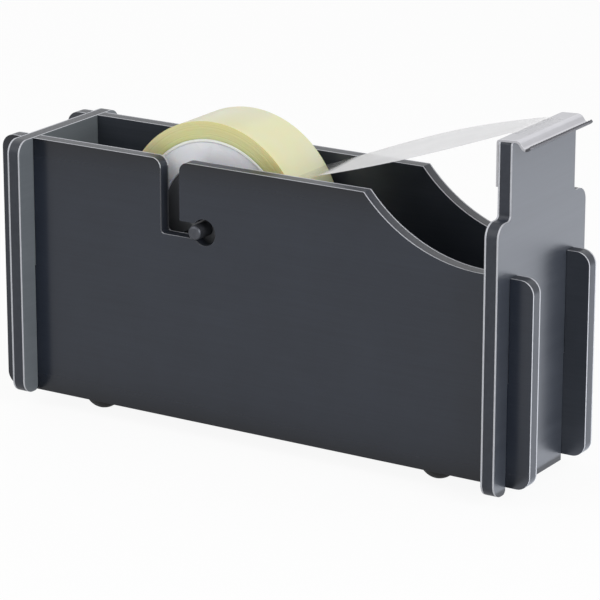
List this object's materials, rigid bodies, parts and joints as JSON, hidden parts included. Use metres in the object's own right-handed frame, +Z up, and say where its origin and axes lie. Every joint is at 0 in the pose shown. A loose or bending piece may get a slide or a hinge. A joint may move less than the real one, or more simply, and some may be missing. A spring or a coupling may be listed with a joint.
{
  "type": "desk tape dispenser",
  "caption": "Desk tape dispenser of interlocking flat panels with open J slots for the roll's axle and a raised toothed cutter.",
  "frame": {"origin": "middle of the outer box, on the surface the feet stand on", "axes": "+Z up, +X from the rear panel to the cutter, +Y to the left side panel"},
  "size_m": [0.124, 0.0352, 0.0729],
  "materials": {
    "outer_skin": "dark grey lacquered, fine brushed satin",
    "inner_skin": "dark grey lacquered, satin",
    "sheet_core": "black polyethylene, sawn edge",
    "base_plate": "black",
    "ballast": "plain cold-drawn bar",
    "rubber_foot": "black, matt",
    "axle": "blackened rod",
    "washer": "black nylon",
    "hub": "black moulded",
    "tape_core": "off-white moulded",
    "wound_tape": "clear film wound to a pale yellow",
    "blade": "bright bent strip",
    "bond_film": "clear adhesive",
    "free_tape": "clear film"
  },
  "bodies": {
    "frame": {"ballast_bar": "ballast", "base_plate": "base_plate", "cutter_blade": "blade", "cutter_film": "bond_film", "front_left_foot": "rubber_foot", "front_panel_core": "sheet_core", "front_panel_inner_skin": "inner_skin", "front_panel_outer_skin": "outer_skin", "front_right_foot": "rubber_foot", "left_side_core": "sheet_core", "left_side_inner_skin": "inner_skin", "left_side_outer_skin": "outer_skin", "rear_left_foot": "rubber_foot", "rear_panel_core": "sheet_core", "rear_panel_inner_skin": "inner_skin", "rear_panel_outer_skin": "outer_skin", "rear_right_foot": "rubber_foot", "right_side_core": "sheet_core", "right_side_inner_skin": "inner_skin", "right_side_outer_skin": "outer_skin", "tape_strand": "free_tape"},
    "axle": {"axle_rod": "axle", "left_axle_washer": "washer", "right_axle_washer": "washer"},
    "roll": {"left_hub_half": "hub", "right_hub_half": "hub", "tape_core": "tape_core", "tape_winding": "wound_tape"}
  },
  "joints": [
    {"name": "axle_slide", "type": "slide", "parent": "frame", "child": "axle", "axis": [-1, 0, 0], "range_m": [0, 0.0065]},
    {"name": "roll_spin", "type": "hinge", "parent": "axle", "child": "roll", "pos_m": [-0.01405, 0, 0.04375], "axis": [0, 1, 0], "continuous": true}
  ]
}
